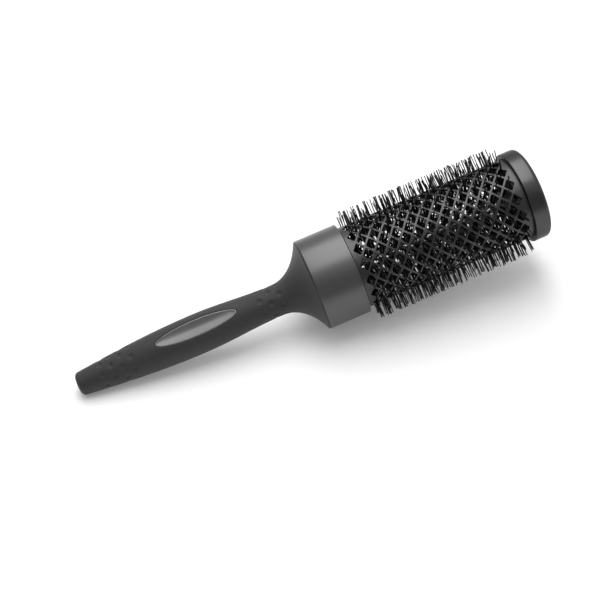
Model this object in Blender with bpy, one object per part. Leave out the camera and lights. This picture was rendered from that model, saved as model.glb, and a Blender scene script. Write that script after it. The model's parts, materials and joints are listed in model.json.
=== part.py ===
"""Round barrel hair brush with a perforated metal barrel, lying at rest on a table.

Units are metres. The brush is modelled along +X from the butt of the handle (x = 0) to the end cap, with the
thumb inlay on top. It is then turned about X, tilted about Y and placed so that the butt and the first bristles
touch the plane z = 0. An angle about the axis is counted from the inlay, by the right-hand rule about +X.
"""

import math

import bmesh
import bpy
import numpy as np
from mathutils import Matrix, Vector

# Clearance between pieces that touch on the real brush
FIT_GAP = 0.0003

# Soft grip over a rigid core
GRIP_LENGTH = 0.1276
BUTT_RADIUS = 0.0059
BUTT_CORNER = 0.0024
BUTT_CROWN = 0.0004
BELLY_RADIUS = 0.01028
TAIL_LENGTH = 0.0656
WAIST_RADIUS = 0.0082
FLARE_LENGTH = 0.0186
FLARE_SWEEP = math.radians(57)
GRIP_STEP = 0.0002
GRIP_WALL = 0.0030
GRIP_MOUTH_WALL = 0.0036

# Rings of finger dimples behind and ahead of the inlay, counted from the ring next to it
DIMPLES_AROUND = 8
DIMPLE_WIDTH = 0.0026
DIMPLE_DEPTH = 0.00055
DIMPLE_PITCH = 0.00535
DIMPLE_BUTT_MARGIN = 0.0145
DIMPLE_MOUTH_MARGIN = 0.0169
BUTT_DIMPLE_RINGS = 4
MOUTH_DIMPLE_RINGS = 3

# Thumb inlay, an oval on top of the grip
INLAY_LENGTH = 0.0438
INLAY_WIDTH = 0.0097
INLAY_CENTRE = 0.0659
INLAY_RIM = 0.0009
INLAY_STEP = 0.0004
INLAY_DISH = 0.0015

# Collar between grip and barrel
COLLAR_LENGTH = 0.0228
COLLAR_WALL = 0.0021
COLLAR_CHAMFER = 0.00105
COLLAR_LIP = 0.0017

# Perforated barrel
BARREL_RADIUS = 0.0215
BARREL_WALL = 0.0008
HOLES_AROUND = 16
HOLE_COLUMNS = 25
COLUMN_PITCH = 0.00339
STRUT_WIDTH = 0.0011
HOLE_ANGLE = 2 * math.pi / HOLES_AROUND
FIRST_COLUMN_MARGIN = 0.0041

# Hub inside the free end of the barrel, and the cap over it
HUB_LENGTH = 0.0029
HUB_WEB = 0.0018
HUB_RIM = 0.0015
HUB_FLANGE = 0.0010
BOSS_WALL = 0.0030
CLIP_THICKNESS = 0.0006
CLIP_WIDTH = 0.0028
CAP_LENGTH = 0.0088
CAP_WALL = 0.0020
CAP_OVERLAP = 0.0033
CAP_LIP_ROUND = 0.0008
CAP_END_ROUND = 0.0022

# Core socket that holds the stem, and the spigot that carries the barrel
SPIGOT_LENGTH = 0.0080
SPIGOT_WALL = 0.0022
CORE_WEB = 0.0030
SOCKET_DEPTH = 0.0180
SOCKET_PROUD = 0.0040

# Twisted stem and bristles
WIRE_RADIUS = 0.0008
RIBBON_THICKNESS = 0.0005
RIBBON_HALF_WIDTH = 0.0026
BRISTLE_REACH = 0.0077
BRISTLE_THICKNESS = 0.0005

# Turn about the axis as the brush lies: one hole's spacing, so that the inlay looks up and to the front
LYING_TURN = HOLE_ANGLE

# Facets
SEGMENTS = 2 * HOLES_AROUND
HIDDEN_SEGMENTS = HOLES_AROUND
GRIP_SEGMENTS = 4 * DIMPLES_AROUND
ARC_STEPS = 3
CORE_STEPS = 4
BELLY_STEPS = 8
FLARE_STEPS = 5
INLAY_SEGMENTS = 24
DISH_SHARES = (0.0, 0.4, 0.75, 1.0)
WIRE_BEVEL_STEPS = 0
WIRE_POINTS_PER_TURN = 7
MERGE_DISTANCE = 0.000001

# Radii that follow from the sizes above
BARREL_BORE = BARREL_RADIUS - BARREL_WALL
SPIGOT_RADIUS = BARREL_BORE - FIT_GAP
COLLAR_BORE = BARREL_RADIUS + FIT_GAP
COLLAR_RADIUS = COLLAR_BORE + COLLAR_WALL
TIP_RADIUS = BARREL_RADIUS + BRISTLE_REACH
WIRE_HELIX = RIBBON_THICKNESS / 2 + FIT_GAP + WIRE_RADIUS
STEM_BORE = WIRE_HELIX + WIRE_RADIUS + FIT_GAP
BOSS_RADIUS = STEM_BORE + BOSS_WALL

# Stations along the axis, from the handle to the cap
WAIST_DISTANCE = GRIP_LENGTH - FLARE_LENGTH
COLLAR_START = GRIP_LENGTH + FIT_GAP
COLLAR_END = COLLAR_START + COLLAR_LENGTH
BARREL_START = COLLAR_START + COLLAR_LIP + FIT_GAP
CORE_FACE = BARREL_START + CORE_WEB
SPIGOT_END = BARREL_START + SPIGOT_LENGTH
BOSS_END = SPIGOT_END + SOCKET_PROUD
SOCKET_FLOOR = BOSS_END - SOCKET_DEPTH
FIRST_COLUMN = COLLAR_END + FIRST_COLUMN_MARGIN
HALF_TURN = 2 * COLUMN_PITCH
BRISTLE_ROWS = math.ceil(HOLE_COLUMNS / 2)
FIRST_ROW = FIRST_COLUMN - HALF_TURN / 4
LAST_ROW_END = FIRST_ROW + BRISTLE_ROWS * HALF_TURN
HUB_BACK = LAST_ROW_END + FIT_GAP
BARREL_END = HUB_BACK + HUB_LENGTH
HUB_FRONT = BARREL_END + FIT_GAP + HUB_FLANGE
CLIP_START = HUB_FRONT + FIT_GAP
STEM_START = SOCKET_FLOOR + FIT_GAP
STEM_END = CLIP_START + CLIP_THICKNESS + FIT_GAP
CAP_START = BARREL_END - CAP_OVERLAP
CAP_END = CAP_START + CAP_LENGTH


def clear_scene():
    for old in list(bpy.data.objects):
        bpy.data.objects.remove(old, do_unlink=True)


def finish_material(name, colour, roughness, metallic=0.0):
    material = bpy.data.materials.new(name)
    material.use_nodes = True
    shader = material.node_tree.nodes["Principled BSDF"]
    shader.inputs["Base Color"].default_value = (*colour, 1.0)
    shader.inputs["Roughness"].default_value = roughness
    shader.inputs["Metallic"].default_value = metallic
    return material


def add_object(name, data, parent):
    piece = bpy.data.objects.new(name, data)
    bpy.context.scene.collection.objects.link(piece)
    piece.parent = parent
    return piece


def add_piece(name, shape, material, parent):
    """A named object made from a bmesh, smooth where its faces meet at a low angle."""
    mesh = bpy.data.meshes.new(name)
    bmesh.ops.recalc_face_normals(shape, faces=shape.faces)
    shape.to_mesh(mesh)
    shape.free()
    mesh.shade_smooth()
    mesh.set_sharp_from_angle(angle=math.radians(35))
    mesh.materials.append(material)
    return add_object(name, mesh, parent)


def cut(piece, cutter):
    """Subtracts a hidden cutter from a piece."""
    cutter.hide_render = True
    cutter.display_type = "WIRE"
    modifier = piece.modifiers.new("cut_" + cutter.name, "BOOLEAN")
    modifier.operation = "DIFFERENCE"
    modifier.solver = "EXACT"
    modifier.object = cutter


def direction(angle):
    """Unit vectors across the axis, for an angle or an array of angles counted from the inlay."""
    angle = np.asarray(angle, float)
    return np.stack([np.zeros_like(angle), -np.sin(angle), np.cos(angle)], axis=-1)


def turned(profile, segments):
    """A bmesh turned about the X axis from a closed or axis-to-axis profile of (x, radius) points."""
    shape = bmesh.new()
    points = [shape.verts.new((x, 0.0, radius)) for x, radius in profile]
    edges = [shape.edges.new(pair) for pair in zip(points, points[1:])]
    ends_on_axis = profile[0][1] == 0 and profile[-1][1] == 0
    if not ends_on_axis:
        edges.append(shape.edges.new((points[-1], points[0])))
    bmesh.ops.spin(
        shape,
        geom=points + edges,
        cent=(0, 0, 0),
        axis=(1, 0, 0),
        angle=2 * math.pi,
        steps=segments,
        use_duplicate=False,
    )
    bmesh.ops.remove_doubles(shape, verts=shape.verts, dist=MERGE_DISTANCE)
    return shape


def arc(centre_x, centre_r, radius, start_degrees, end_degrees, steps=ARC_STEPS):
    """Profile points on a circular arc, angles counted from +X towards larger radius."""
    angles = np.radians(np.linspace(start_degrees, end_degrees, steps + 1))
    return [(centre_x + radius * math.cos(a), centre_r + radius * math.sin(a)) for a in angles]


def handle_radius(x, butt, belly, waist, mouth):
    """Radius of the handle at stations x.

    It rises as a quarter sine wave from butt to belly, falls as half a cosine wave to the waist, and opens to
    the mouth as an elliptical arc.
    """
    x = np.asarray(x, float)
    rise = (belly - butt) * np.sin(np.pi / 2 * np.clip(x / TAIL_LENGTH, 0, 1))
    share = np.clip((x - TAIL_LENGTH) / (WAIST_DISTANCE - TAIL_LENGTH), 0, 1)
    fall = (belly - waist) * (1 - np.cos(np.pi * share)) / 2
    sine = np.clip((x - WAIST_DISTANCE) / FLARE_LENGTH, 0, 1) * math.sin(FLARE_SWEEP)
    flare = (mouth - waist) * (1 - np.sqrt(1 - sine**2)) / (1 - math.cos(FLARE_SWEEP))
    return butt + rise - fall + flare


def flare_stations(start, steps):
    """Stations from a start in the flare to its mouth, at equal turns of the elliptical arc."""
    first = math.asin((start - WAIST_DISTANCE) / FLARE_LENGTH * math.sin(FLARE_SWEEP))
    turn = np.linspace(first, FLARE_SWEEP, steps + 1)
    return WAIST_DISTANCE + FLARE_LENGTH * np.sin(turn) / math.sin(FLARE_SWEEP)


def grip_radius(x):
    """Radius of the grip's skin."""
    return handle_radius(x, BUTT_RADIUS, BELLY_RADIUS, WAIST_RADIUS, COLLAR_RADIUS - GRIP_STEP)


def core_profile(grow):
    """Outline of the rigid core under the grip, grown outwards by a clearance."""
    wall = GRIP_WALL + FIT_GAP - grow
    mouth = COLLAR_RADIUS - GRIP_STEP - GRIP_MOUTH_WALL - FIT_GAP + grow
    start = BUTT_CORNER + FIT_GAP - grow
    tail = np.linspace(start, TAIL_LENGTH, CORE_STEPS, endpoint=False)
    fall = np.linspace(TAIL_LENGTH, WAIST_DISTANCE, CORE_STEPS, endpoint=False)
    x = np.concatenate([tail, fall, flare_stations(WAIST_DISTANCE, FLARE_STEPS)])
    radius = handle_radius(x, BUTT_RADIUS - wall, BELLY_RADIUS - wall, WAIST_RADIUS - wall, mouth)
    return [(start, 0.0)] + list(zip(x.tolist(), radius.tolist()))


def dimple_rings():
    """Stations of the dimple rings behind and ahead of the inlay, each counted from the ring next to it."""
    behind = DIMPLE_BUTT_MARGIN + DIMPLE_PITCH * np.arange(BUTT_DIMPLE_RINGS)
    ahead = GRIP_LENGTH - DIMPLE_MOUTH_MARGIN - DIMPLE_PITCH * np.arange(MOUTH_DIMPLE_RINGS)
    return behind[::-1], ahead[::-1]


def press_dimples(shape, x, first):
    """Pushes points of the ring at station x inwards, evenly spaced from the first point's place."""
    step = 2 * math.pi / GRIP_SEGMENTS
    for vert in shape.verts:
        place = round(math.atan2(-vert.co.y, vert.co.z) / step)
        if abs(vert.co.x - x) < MERGE_DISTANCE and (place - first) % (GRIP_SEGMENTS // DIMPLES_AROUND) == 0:
            vert.co.yz *= 1 - DIMPLE_DEPTH / vert.co.yz.length


def make_handle_core(material, parent):
    """Rigid core: a rod that swells with the grip, a flare, a spigot for the barrel and a stem socket."""
    profile = core_profile(0.0)
    profile += [
        (COLLAR_START + FIT_GAP, SPIGOT_RADIUS),
        (SPIGOT_END, SPIGOT_RADIUS),
        (SPIGOT_END, SPIGOT_RADIUS - SPIGOT_WALL),
        (CORE_FACE, SPIGOT_RADIUS - SPIGOT_WALL),
        (CORE_FACE, BOSS_RADIUS),
        (BOSS_END, BOSS_RADIUS),
        (BOSS_END, STEM_BORE),
        (SOCKET_FLOOR, STEM_BORE),
        (SOCKET_FLOOR, 0.0),
    ]
    return add_piece("handle_core", turned(profile, HIDDEN_SEGMENTS), material, parent)


def oval_solid(rings):
    """A closed bmesh over the thumb oval, from rings that run from its top middle to its bottom middle.

    A ring is its share of the way from the middle to the edge, how far the edge is grown, and a function that
    gives the distance from the handle's axis at a station.
    """
    shape = bmesh.new()
    turn = np.linspace(0, 2 * np.pi, INLAY_SEGMENTS, endpoint=False)
    loops = []
    for share, grow, height in rings:
        x = INLAY_CENTRE + share * (INLAY_LENGTH / 2 + grow) * np.cos(turn)
        angle = share * (INLAY_WIDTH / 2 + grow) / BELLY_RADIUS * np.sin(turn)
        points = height(x)[:, None] * direction(angle)
        points[:, 0] = x
        loops.append([shape.verts.new(p) for p in points])
    for upper, lower in zip(loops, loops[1:]):
        for i in range(INLAY_SEGMENTS):
            j = (i + 1) % INLAY_SEGMENTS
            shape.faces.new([upper[i], upper[j], lower[j], lower[i]])
    bmesh.ops.remove_doubles(shape, verts=shape.verts, dist=MERGE_DISTANCE)
    return shape


def make_thumb_inlay(material, parent):
    """Hard oval with a flush rim round a dish that is deepest in the middle, bedded on the core."""

    def below_skin(depth):
        return lambda x: grip_radius(x) - depth

    dish = [(share, -INLAY_RIM, below_skin(INLAY_STEP + INLAY_DISH * (1 - share**2))) for share in DISH_SHARES]
    rings = dish + [
        (1.0, -INLAY_RIM, below_skin(0.0)),
        (1.0, 0.0, below_skin(0.0)),
        (1.0, 0.0, below_skin(GRIP_WALL)),
        (0.5, 0.0, below_skin(GRIP_WALL)),
        (0.0, 0.0, below_skin(GRIP_WALL)),
    ]
    return add_piece("thumb_inlay", oval_solid(rings), material, parent)


def make_grip_sleeve(material, parent):
    """Soft sleeve: dimpled skin with a crowned butt, hollow for the core, with a window for the inlay.

    Each dimple is one point of the skin pushed in, between two more rings of points that stay at the surface.
    """
    corner_x = BUTT_CROWN + BUTT_CORNER
    corner = arc(corner_x, grip_radius(corner_x) - BUTT_CORNER, BUTT_CORNER, 180, 90)
    behind, ahead = dimple_rings()
    edges = DIMPLE_WIDTH / 2 * np.array([-1, 0, 1])
    tail = np.sort(np.add.outer(behind, edges).ravel())
    front = np.sort(np.add.outer(ahead, edges).ravel())
    belly = np.linspace(tail[-1], front[0], BELLY_STEPS + 1)[1:-1]
    x = np.concatenate([tail, belly, front, flare_stations(front[-1], FLARE_STEPS)[1:]])
    skin = list(zip(x.tolist(), grip_radius(x).tolist()))
    shape = turned([(0.0, 0.0)] + corner + skin + [(GRIP_LENGTH, 0.0)], GRIP_SEGMENTS)
    for rings in (behind, ahead):
        for count, ring_x in enumerate(rings):
            press_dimples(shape, ring_x, count % 2 * GRIP_SEGMENTS // DIMPLES_AROUND // 2)
    sleeve = add_piece("grip_sleeve", shape, material, parent)

    line = core_profile(FIT_GAP)
    mouth_x, mouth_r = line[-1]
    hollow = line + [(mouth_x + COLLAR_LIP, mouth_r), (mouth_x + COLLAR_LIP, 0.0)]
    cut(sleeve, add_piece("core_hollow", turned(hollow, HIDDEN_SEGMENTS), material, parent))

    def inside(x):
        return np.full_like(x, WAIST_RADIUS - GRIP_WALL)

    def outside(x):
        return np.full_like(x, BELLY_RADIUS + GRIP_WALL)

    window = [(0.0, 0.0, outside), (1.0, FIT_GAP, outside), (1.0, FIT_GAP, inside), (0.0, 0.0, inside)]
    cut(sleeve, add_piece("inlay_window", oval_solid(window), material, parent))
    return sleeve


def make_collar(material, parent):
    """Ring over the barrel's end, with an inner lip that stops the barrel and a coned front edge."""
    lip_radius = SPIGOT_RADIUS + FIT_GAP
    profile = [
        (COLLAR_START, lip_radius),
        (COLLAR_START, COLLAR_RADIUS),
        (COLLAR_END - COLLAR_CHAMFER, COLLAR_RADIUS),
        (COLLAR_END, COLLAR_BORE),
        (COLLAR_START + COLLAR_LIP, COLLAR_BORE),
        (COLLAR_START + COLLAR_LIP, lip_radius),
    ]
    return add_piece("collar", turned(profile, SEGMENTS), material, parent)


def hole_corners(radius):
    """Corner points of every hole as an array: column, hole, (front, top, back, bottom), xyz."""
    half_round = BARREL_RADIUS * HOLE_ANGLE / 2
    strut_spacing = 2 * half_round * COLUMN_PITCH / math.hypot(half_round, COLUMN_PITCH)
    open_share = 1 - STRUT_WIDTH / strut_spacing
    column = np.arange(HOLE_COLUMNS)[:, None, None]
    hole = np.arange(HOLES_AROUND)[None, :, None]
    along = np.array([1, 0, -1, 0]) * COLUMN_PITCH * open_share
    turn = np.array([0, 1, 0, -1]) * HOLE_ANGLE / 2 * open_share
    points = radius * direction(HOLE_ANGLE * (hole + column % 2 / 2) + turn)
    points[..., 0] = FIRST_COLUMN + column * COLUMN_PITCH + along
    return points


def barrel_skin(shape, radius):
    """Lattice between the holes at one radius, with a plain band at each end; returns holes and end rings."""
    front, top, back, bottom = range(4)
    holes = [[[shape.verts.new(p) for p in hole] for hole in column] for column in hole_corners(radius)]

    def hole(column, index):
        return holes[column][index % HOLES_AROUND]

    def ring(x, stagger):
        points = radius * direction(HOLE_ANGLE / 2 * (np.arange(2 * HOLES_AROUND) + stagger))
        points[:, 0] = x
        return [shape.verts.new(p) for p in points]

    for c in range(HOLE_COLUMNS - 1):
        for k in range(HOLES_AROUND):
            here, above, below = hole(c, k), hole(c + 1, k + c % 2), hole(c + 1, k + c % 2 - 1)
            shape.faces.new([here[front], above[bottom], above[back], here[top]])
            shape.faces.new([here[bottom], below[back], below[top], here[front]])
    for c in range(1, HOLE_COLUMNS - 1):
        for k in range(HOLES_AROUND):
            ahead, behind = hole(c + 1, k + c % 2), hole(c - 1, k + c % 2)
            shape.faces.new([hole(c, k)[top], ahead[back], hole(c, k + 1)[bottom], behind[front]])

    ends = []
    for c, away, near, end_x in ((0, -1, back, BARREL_START), (HOLE_COLUMNS - 1, 1, front, BARREL_END)):
        inner = ring(FIRST_COLUMN + (c + away) * COLUMN_PITCH, c % 2)
        outer = ring(end_x, c % 2)
        for k in range(HOLES_AROUND):
            here, over, inward = hole(c, k), hole(c, k + 1), hole(c - away, k + c % 2)
            level, between, after = (inner[(2 * k + i) % len(inner)] for i in range(3))
            shape.faces.new([here[top], inward[near], over[bottom], between])
            shape.faces.new([here[near], here[top], between, level])
            shape.faces.new([over[bottom], over[near], after, between])
        for i in range(len(inner)):
            shape.faces.new([inner[i - 1], inner[i], outer[i], outer[i - 1]])
        ends.append(outer)
    return holes, ends


def make_barrel(material, parent):
    """Thin tube whose wall is a lattice of struts between staggered diamond holes."""
    shape = bmesh.new()
    outer_holes, outer_ends = barrel_skin(shape, BARREL_RADIUS)
    inner_holes, inner_ends = barrel_skin(shape, BARREL_BORE)
    outer_rims = sum(outer_holes, []) + outer_ends
    inner_rims = sum(inner_holes, []) + inner_ends
    for outer, inner in zip(outer_rims, inner_rims):
        for i in range(len(outer)):
            shape.faces.new([outer[i - 1], outer[i], inner[i], inner[i - 1]])
    return add_piece("barrel", shape, material, parent)


def twist_angle(x):
    """Angle of the clamped bristle ribbon at a station: half a turn for every two columns of holes."""
    return np.pi * (np.asarray(x) - FIRST_ROW) / HALF_TURN - np.pi / HOLES_AROUND / 2


def ribbon_edge(row, side):
    """Upper and lower corner lines of one edge of the twisted ribbon, half a turn long."""
    share = np.arange(HOLES_AROUND + 1) / HOLES_AROUND
    start = FIRST_ROW + row * HALF_TURN
    twist = twist_angle(start + HALF_TURN * share) + side * np.pi
    out = direction(twist)
    tangent = RIBBON_HALF_WIDTH * direction(twist + np.pi / 2)
    tangent[:, 0] = HALF_TURN / np.pi
    normal = np.cross(out, tangent) * (1 - 2 * side)
    normal /= np.linalg.norm(normal, axis=1)[:, None]
    edge = RIBBON_HALF_WIDTH * out
    edge[:, 0] = start + FIT_GAP / 2 + (HALF_TURN - FIT_GAP) * share
    return edge + normal * RIBBON_THICKNESS / 2, edge - normal * RIBBON_THICKNESS / 2


def draw_strand(shape, facet, hole_x):
    """Extrudes one facet of the ribbon straight through the middle of its hole to the bristle's tip."""
    root = np.array(facet.calc_center_median())
    root_radius = math.hypot(root[1], root[2])
    lean = (hole_x - root[0]) / (BARREL_RADIUS - BARREL_WALL / 2 - root_radius)
    tip = root * TIP_RADIUS / root_radius
    tip[0] = root[0] + lean * (TIP_RADIUS - root_radius)
    end = bmesh.ops.extrude_discrete_faces(shape, faces=[facet])["faces"][0]
    for vert in end.verts:
        offset = np.array(vert.co) - root
        vert.co = tip + offset * BRISTLE_THICKNESS / math.sqrt(2) / np.linalg.norm(offset)


def make_bristle_row(row, material, parent):
    """Half a turn of clamped ribbon, with one strand standing out through each hole of two columns.

    The ribbon is a strip of helicoid between the wires. Each facet of its two edges is drawn out in the half
    plane through its own hole, so neighbouring strands only ever spread apart.
    """
    shape = bmesh.new()
    lines = [[shape.verts.new(p) for p in line] for side in (0, 1) for line in ribbon_edge(row, side)]
    upper_a, lower_a, upper_b, lower_b = lines
    facets = []
    for k in range(HOLES_AROUND):
        n = k + 1
        shape.faces.new([upper_a[k], upper_a[n], upper_b[n], upper_b[k]])
        shape.faces.new([lower_a[k], lower_b[k], lower_b[n], lower_a[n]])
        column = 2 * row + k % 2
        for upper, lower in ((upper_a, lower_a), (lower_b, upper_b)):
            facets.append((column, shape.faces.new([upper[k], lower[k], lower[n], upper[n]])))
    shape.faces.new([line[0] for line in (upper_a, upper_b, lower_b, lower_a)])
    shape.faces.new([line[-1] for line in (lower_a, lower_b, upper_b, upper_a)])
    for column, facet in facets:
        if column < HOLE_COLUMNS:
            draw_strand(shape, facet, FIRST_COLUMN + column * COLUMN_PITCH)
    return add_piece(f"bristle_row_{row + 1:02d}", shape, material, parent)


def make_stem_wire(name, side, material, parent):
    """One of the two wires that wind round each other with the bristle ribbon clamped between them."""
    turns = (STEM_END - STEM_START) / (2 * HALF_TURN)
    x = np.linspace(STEM_START, STEM_END, math.ceil(turns * WIRE_POINTS_PER_TURN) + 1)
    centre = WIRE_HELIX * direction(twist_angle(x) + np.pi / 2 + side * np.pi)
    centre[:, 0] = x
    curve = bpy.data.curves.new(name, "CURVE")
    curve.dimensions = "3D"
    curve.bevel_depth = WIRE_RADIUS
    curve.bevel_resolution = WIRE_BEVEL_STEPS
    curve.use_fill_caps = True
    spline = curve.splines.new("POLY")
    spline.points.add(len(centre) - 1)
    for point, place in zip(spline.points, centre):
        point.co = (*place, 1.0)
    curve.materials.append(material)
    return add_object(name, curve, parent)


def make_front_hub(material, parent):
    """Disc in the free end of the barrel: a flange on its edge, a rim inside it and a boss round the stem."""
    profile = [
        (HUB_BACK, STEM_BORE),
        (HUB_BACK, BOSS_RADIUS),
        (BARREL_END - HUB_WEB, BOSS_RADIUS),
        (BARREL_END - HUB_WEB, SPIGOT_RADIUS - HUB_RIM),
        (HUB_BACK, SPIGOT_RADIUS - HUB_RIM),
        (HUB_BACK, SPIGOT_RADIUS),
        (BARREL_END + FIT_GAP, SPIGOT_RADIUS),
        (BARREL_END + FIT_GAP, BARREL_RADIUS),
        (HUB_FRONT, BARREL_RADIUS),
        (HUB_FRONT, STEM_BORE),
    ]
    return add_piece("front_hub", turned(profile, HIDDEN_SEGMENTS), material, parent)


def make_stem_clip(material, parent):
    """Push-on washer that keeps the end of the stem against the hub."""
    profile = [
        (CLIP_START, STEM_BORE),
        (CLIP_START, STEM_BORE + CLIP_WIDTH),
        (CLIP_START + CLIP_THICKNESS, STEM_BORE + CLIP_WIDTH),
        (CLIP_START + CLIP_THICKNESS, STEM_BORE),
    ]
    return add_piece("stem_clip", turned(profile, HIDDEN_SEGMENTS), material, parent)


def make_end_cap(material, parent):
    """Cup that closes the barrel, with a rounded lip towards the bristles and a rounded flat end."""
    lip = arc(CAP_START + CAP_LIP_ROUND, COLLAR_RADIUS - CAP_LIP_ROUND, CAP_LIP_ROUND, 180, 90)
    end = arc(CAP_END - CAP_END_ROUND, COLLAR_RADIUS - CAP_END_ROUND, CAP_END_ROUND, 90, 0)
    inside = [(CAP_END - CAP_WALL, 0.0), (CAP_END - CAP_WALL, COLLAR_BORE), (CAP_START, COLLAR_BORE)]
    profile = inside + lip + end + [(CAP_END, 0.0)]
    return add_piece("end_cap", turned(profile, SEGMENTS), material, parent)


def local_points(piece):
    """Vertices of a finished piece, its cuts included, in the brush's own frame."""
    evaluated = piece.evaluated_get(bpy.context.evaluated_depsgraph_get())
    mesh = evaluated.to_mesh()
    flat = np.empty(3 * len(mesh.vertices))
    mesh.vertices.foreach_get("co", flat)
    evaluated.to_mesh_clear()
    return flat.reshape(-1, 3)


def lay_down(brush, pieces):
    """Turns the brush, tilts it until butt and bristles touch one plane, and puts that plane at z = 0."""
    turn = np.array(Matrix.Rotation(LYING_TURN, 3, "X"))
    points = np.concatenate([local_points(piece) for piece in pieces]) @ turn.T
    rear = points[points[:, 0] < WAIST_DISTANCE]
    fore = points[points[:, 0] > WAIST_DISTANCE]

    def lowest(cloud, tilt):
        return (cloud[:, 0] * math.sin(tilt) + cloud[:, 2] * math.cos(tilt)).min()

    level, steep = 0.0, math.radians(45)
    for _ in range(40):
        tilt = (level + steep) / 2
        if lowest(fore, tilt) < lowest(rear, tilt):
            level = tilt
        else:
            steep = tilt
    along = points[:, 0] * math.cos(tilt) - points[:, 2] * math.sin(tilt)
    across = points[:, 1]
    brush.rotation_euler = (LYING_TURN, -tilt, 0.0)
    brush.location = (
        -(along.min() + along.max()) / 2,
        -(across.min() + across.max()) / 2,
        -lowest(points, tilt),
    )
    bpy.context.view_layer.update()
    end_face = brush.matrix_world @ Vector((CAP_END, 0.0, 0.0))
    grip_middle = brush.matrix_world @ Vector((TAIL_LENGTH, 0.0, 0.0))
    print(f"tilt {math.degrees(tilt):.4f} degrees")
    print("axis", tuple(round(v, 6) for v in brush.matrix_world.to_3x3() @ Vector((1, 0, 0))))
    print("end face", tuple(round(v, 6) for v in end_face))
    print("grip middle", tuple(round(v, 6) for v in grip_middle))


def main():
    clear_scene()
    soft_touch = finish_material("soft_touch_charcoal", (0.033, 0.033, 0.034), 0.70)
    core_plastic = finish_material("core_nylon", (0.020, 0.020, 0.020), 0.55)
    inlay_plastic = finish_material("inlay_grey", (0.110, 0.110, 0.113), 0.40, 0.2)
    lacquer = finish_material("satin_lacquer", (0.085, 0.085, 0.088), 0.40, 0.2)
    black_alloy = finish_material("black_anodised_alloy", (0.065, 0.065, 0.066), 0.43, 0.5)
    bristle_nylon = finish_material("bristle_nylon", (0.010, 0.010, 0.010), 0.30)
    steel = finish_material("stem_steel", (0.550, 0.550, 0.560), 0.35, 1.0)

    brush = bpy.data.objects.new("brush", None)
    bpy.context.scene.collection.objects.link(brush)
    pieces = [
        make_handle_core(core_plastic, brush),
        make_grip_sleeve(soft_touch, brush),
        make_thumb_inlay(inlay_plastic, brush),
        make_collar(lacquer, brush),
        make_barrel(black_alloy, brush),
        make_stem_wire("stem_wire_a", 0, steel, brush),
        make_stem_wire("stem_wire_b", 1, steel, brush),
        make_front_hub(core_plastic, brush),
        make_stem_clip(steel, brush),
        make_end_cap(lacquer, brush),
    ]
    for row in range(BRISTLE_ROWS):
        pieces.append(make_bristle_row(row, bristle_nylon, brush))
    lay_down(brush, pieces)


main()
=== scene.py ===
# %% [markdown]
# # A round barrel hair brush
# The solids of this brush come from a CAD model, which is loaded first and stays where it is. This lesson
# gives each piece the finer surface and the finish of the real one: a dimpled soft grip, a dished thumb
# inlay, satin lacquered rings, a perforated barrel and about twelve hundred bristles. Every surface is a
# function on a grid, worked out with numpy, so a reader can change one named size and see what follows.

# %% Load the fixed frame
import json
import math

import bmesh
import bpy
import numpy as np
from mathutils import Matrix


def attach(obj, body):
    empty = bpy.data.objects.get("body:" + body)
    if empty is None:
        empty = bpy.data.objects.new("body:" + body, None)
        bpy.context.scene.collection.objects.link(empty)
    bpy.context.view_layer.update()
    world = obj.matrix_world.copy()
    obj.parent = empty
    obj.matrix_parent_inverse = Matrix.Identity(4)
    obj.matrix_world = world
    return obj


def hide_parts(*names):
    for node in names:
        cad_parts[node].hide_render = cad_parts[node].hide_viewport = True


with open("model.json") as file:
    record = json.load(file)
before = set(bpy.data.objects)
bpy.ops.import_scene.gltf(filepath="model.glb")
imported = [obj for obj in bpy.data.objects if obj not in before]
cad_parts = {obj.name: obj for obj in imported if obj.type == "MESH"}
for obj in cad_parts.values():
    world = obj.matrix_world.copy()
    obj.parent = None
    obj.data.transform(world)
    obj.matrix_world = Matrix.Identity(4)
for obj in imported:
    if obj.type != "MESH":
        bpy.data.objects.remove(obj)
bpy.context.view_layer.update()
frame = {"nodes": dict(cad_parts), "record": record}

# %% [markdown]
# ## The brush's own axes
# The brush lies on a table and leans a little, because the handle is thinner than the barrel. It is easier
# to think along the brush than along the table, so everything below is written in the brush's own axes:
# a station along it, counted from the butt of the handle, a radius, and an angle round it, counted from the
# thumb inlay. The record gives the middle of the end face and the direction of the axis, and the middle of
# the inlay shows how far the brush is turned about that axis.

# %% Brush axes from the record
MM = 0.001


def node_points(name):
    """World points of a CAD node, one row each."""
    mesh = frame["nodes"][name].data
    flat = np.empty(3 * len(mesh.vertices), np.float32)
    mesh.vertices.foreach_get("co", flat)
    return flat.reshape(-1, 3).astype(float)


end_face = next(mount for mount in frame["record"]["mounts"] if mount["name"] == "end_face")
END_CENTRE = np.array(end_face["pos_m"])
ALONG = np.array(end_face["axis"]) / np.linalg.norm(end_face["axis"])
BUTT = END_CENTRE + ((node_points("grip_sleeve") - END_CENTRE) @ ALONG).min() * ALONG
to_inlay = node_points("thumb_inlay").mean(axis=0) - BUTT
OUT = to_inlay - (to_inlay @ ALONG) * ALONG
OUT = OUT / np.linalg.norm(OUT)
ACROSS = np.cross(OUT, ALONG)
BRUSH_AXES = np.stack([ALONG, ACROSS, OUT])


def measure(name):
    """First and last station of a CAD node, and its least and greatest distance from the axis."""
    local = (node_points(name) - BUTT) @ BRUSH_AXES.T
    radius = np.hypot(local[:, 1], local[:, 2])
    return local[:, 0].min(), local[:, 0].max(), radius.min(), radius.max()


def around(x, radius, angle):
    """World points at stations x, at a radius from the axis and at an angle.

    Angles count from the inlay towards the near side. In the brush's axes a point is
    (x, -radius sin angle, radius cos angle).
    """
    x, radius, angle = np.broadcast_arrays(x, radius, angle)
    local = np.stack([x, -radius * np.sin(angle), radius * np.cos(angle)], axis=-1)
    return BUTT + local @ BRUSH_AXES


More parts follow.
